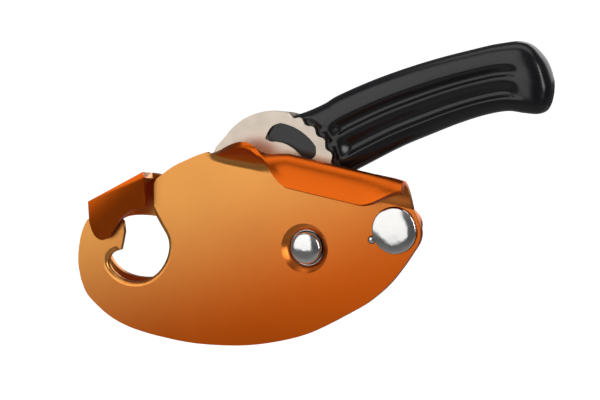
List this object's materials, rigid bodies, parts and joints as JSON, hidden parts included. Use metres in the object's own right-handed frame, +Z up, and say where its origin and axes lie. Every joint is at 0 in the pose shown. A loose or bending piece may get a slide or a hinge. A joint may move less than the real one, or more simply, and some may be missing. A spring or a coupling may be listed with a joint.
{
  "type": "rope descender",
  "caption": "Hand-operated rope descender: two orange side plates, one opening, an eccentric rope cam with a toothed disc, and a curved black control handle.",
  "frame": {"origin": "centre of the attachment hole, midway between the side plates", "axes": "+X along the body towards the pivot rivet, +Z up in the plane of the plates, +Y from the opening plate to the fixed one"},
  "size_m": [0.2326, 0.0364, 0.1456],
  "materials": {
    "orange_anodised": "satin orange anodised",
    "satin_steel": "satin",
    "polished_steel": "polished",
    "black_gloss": "gloss black coating",
    "bronze": "satin",
    "spring_steel": "satin"
  },
  "bodies": {
    "fixed_plate": {"rear_plate": "orange_anodised", "main_axle": "satin_steel", "axle_nut": "satin_steel", "brake_pad": "satin_steel", "brake_pad_rivet_1": "polished_steel", "brake_pad_rivet_2": "polished_steel", "pivot_spacer": "satin_steel", "pivot_washer": "bronze", "cam_spring": "spring_steel", "lock_spring": "spring_steel"},
    "side_plate": {"front_plate": "orange_anodised", "pivot_rivet": "polished_steel", "pivot_collar": "polished_steel", "rivet_key_pin": "polished_steel"},
    "button": {"lock_button": "polished_steel"},
    "cam": {"toothed_disc": "satin_steel", "plain_disc": "satin_steel", "rope_sheave": "satin_steel", "sheave_bush": "bronze", "sheave_rivet_1": "polished_steel", "sheave_rivet_2": "polished_steel", "sheave_rivet_3": "polished_steel", "cam_rivet": "polished_steel", "handle_pin": "polished_steel"},
    "lever": {"handle": "black_gloss", "handle_bush": "bronze", "clutch_spring": "spring_steel"},
    "pawl": {"clutch_pawl": "black_gloss"}
  },
  "joints": [
    {"name": "side_plate_swing", "type": "hinge", "parent": "fixed_plate", "child": "side_plate", "pos_m": [0.1275, 0, 0.0155], "axis": [0, -1, 0], "range_deg": [0, 110]},
    {"name": "button_press", "type": "slide", "parent": "fixed_plate", "child": "button", "axis": [0, 1, 0], "range_m": [0, 0.0035], "stiffness_N_per_m": 500, "springref_m": -0.004, "deforming": ["lock_spring"]},
    {"name": "cam_turn", "type": "hinge", "parent": "fixed_plate", "child": "cam", "pos_m": [0.083, 0, 0.005], "axis": [0, -1, 0], "range_deg": [0, 12], "stiffness_Nm_per_rad": 1, "springref_deg": -20.05},
    {"name": "handle_turn", "type": "hinge", "parent": "cam", "child": "lever", "pos_m": [0.067, 0, 0.0375], "axis": [0, -1, 0], "range_deg": [-14.4, 72]},
    {"name": "pawl_slide", "type": "slide", "parent": "lever", "child": "pawl", "axis": [0.8049, 0, 0.5934], "range_m": [-0.0018, 0], "stiffness_N_per_m": 400, "springref_m": 0.002}
  ]
}
